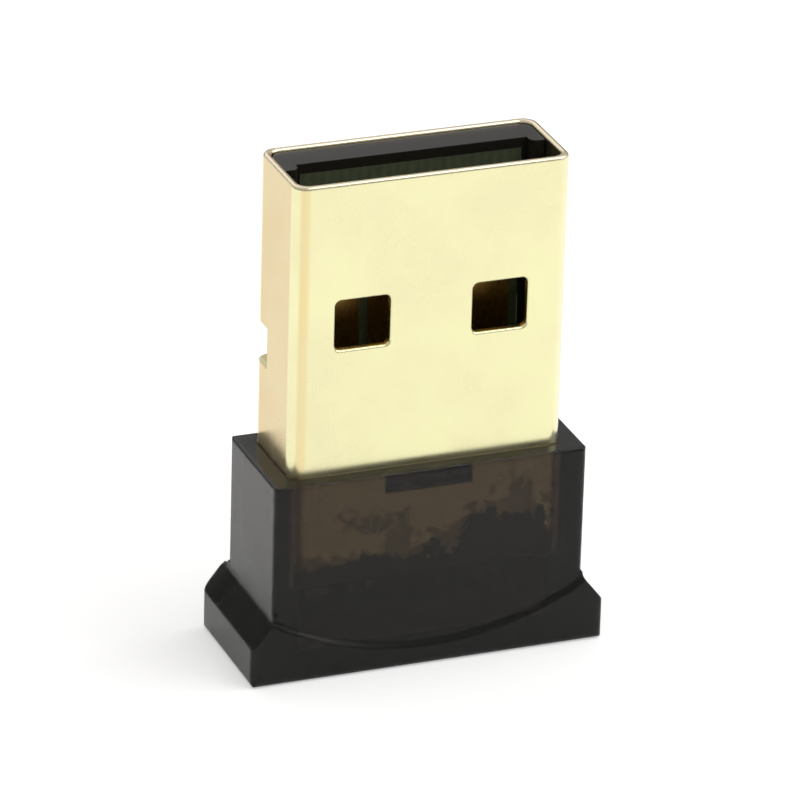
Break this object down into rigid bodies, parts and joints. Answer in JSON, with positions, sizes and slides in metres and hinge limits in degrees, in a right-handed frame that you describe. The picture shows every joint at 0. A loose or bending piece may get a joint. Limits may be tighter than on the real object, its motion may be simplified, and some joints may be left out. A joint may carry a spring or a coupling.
{
  "type": "usb wireless adapter",
  "caption": "Short wireless adapter: a gold-plated type A plug on a smoky moulded housing with a wider, shouldered base.",
  "frame": {"origin": "middle of the base's flat lower face", "axes": "+Z from the base to the plug's open tip, -Y the side that the contacts face, X across the plug's width"},
  "size_m": [0.0156, 0.0062, 0.0218],
  "materials": {
    "smoky_plastic": "smoky translucent moulding, satin sides",
    "gold_plated_sheet": "pale gold plating over steel sheet, satin",
    "black_moulding": "matt black moulding",
    "green_board": "green solder resist over glass epoxy",
    "gold_contact": "gold plated copper",
    "chip_package": "matt moulding compound",
    "crystal_can": "nickel plated lid",
    "lamp_resin": "clear resin",
    "tan_ceramic": "fired ceramic with tinned ends",
    "ferrite": "fired ferrite with tinned ends",
    "white_ceramic": "white ceramic with tinned ends",
    "resistor_glaze": "black glaze with tinned ends",
    "solder": "bright solder"
  },
  "bodies": {
    "root": {"housing": "smoky_plastic", "plug_shell": "gold_plated_sheet", "contact_carrier": "black_moulding", "circuit_board": "green_board", "contact_power": "gold_contact", "contact_data_minus": "gold_contact", "contact_data_plus": "gold_contact", "contact_ground": "gold_contact", "radio_chip": "chip_package", "memory_chip": "chip_package", "voltage_regulator": "chip_package", "surge_diode": "chip_package", "crystal": "crystal_can", "status_led": "lamp_resin", "bulk_capacitor": "tan_ceramic", "ferrite_bead": "ferrite", "antenna_filter": "white_ceramic", "resistors": "resistor_glaze", "capacitors": "tan_ceramic", "antenna_trace": "green_board", "test_pads": "gold_contact", "shell_solder": "solder"}
  },
  "joints": []
}
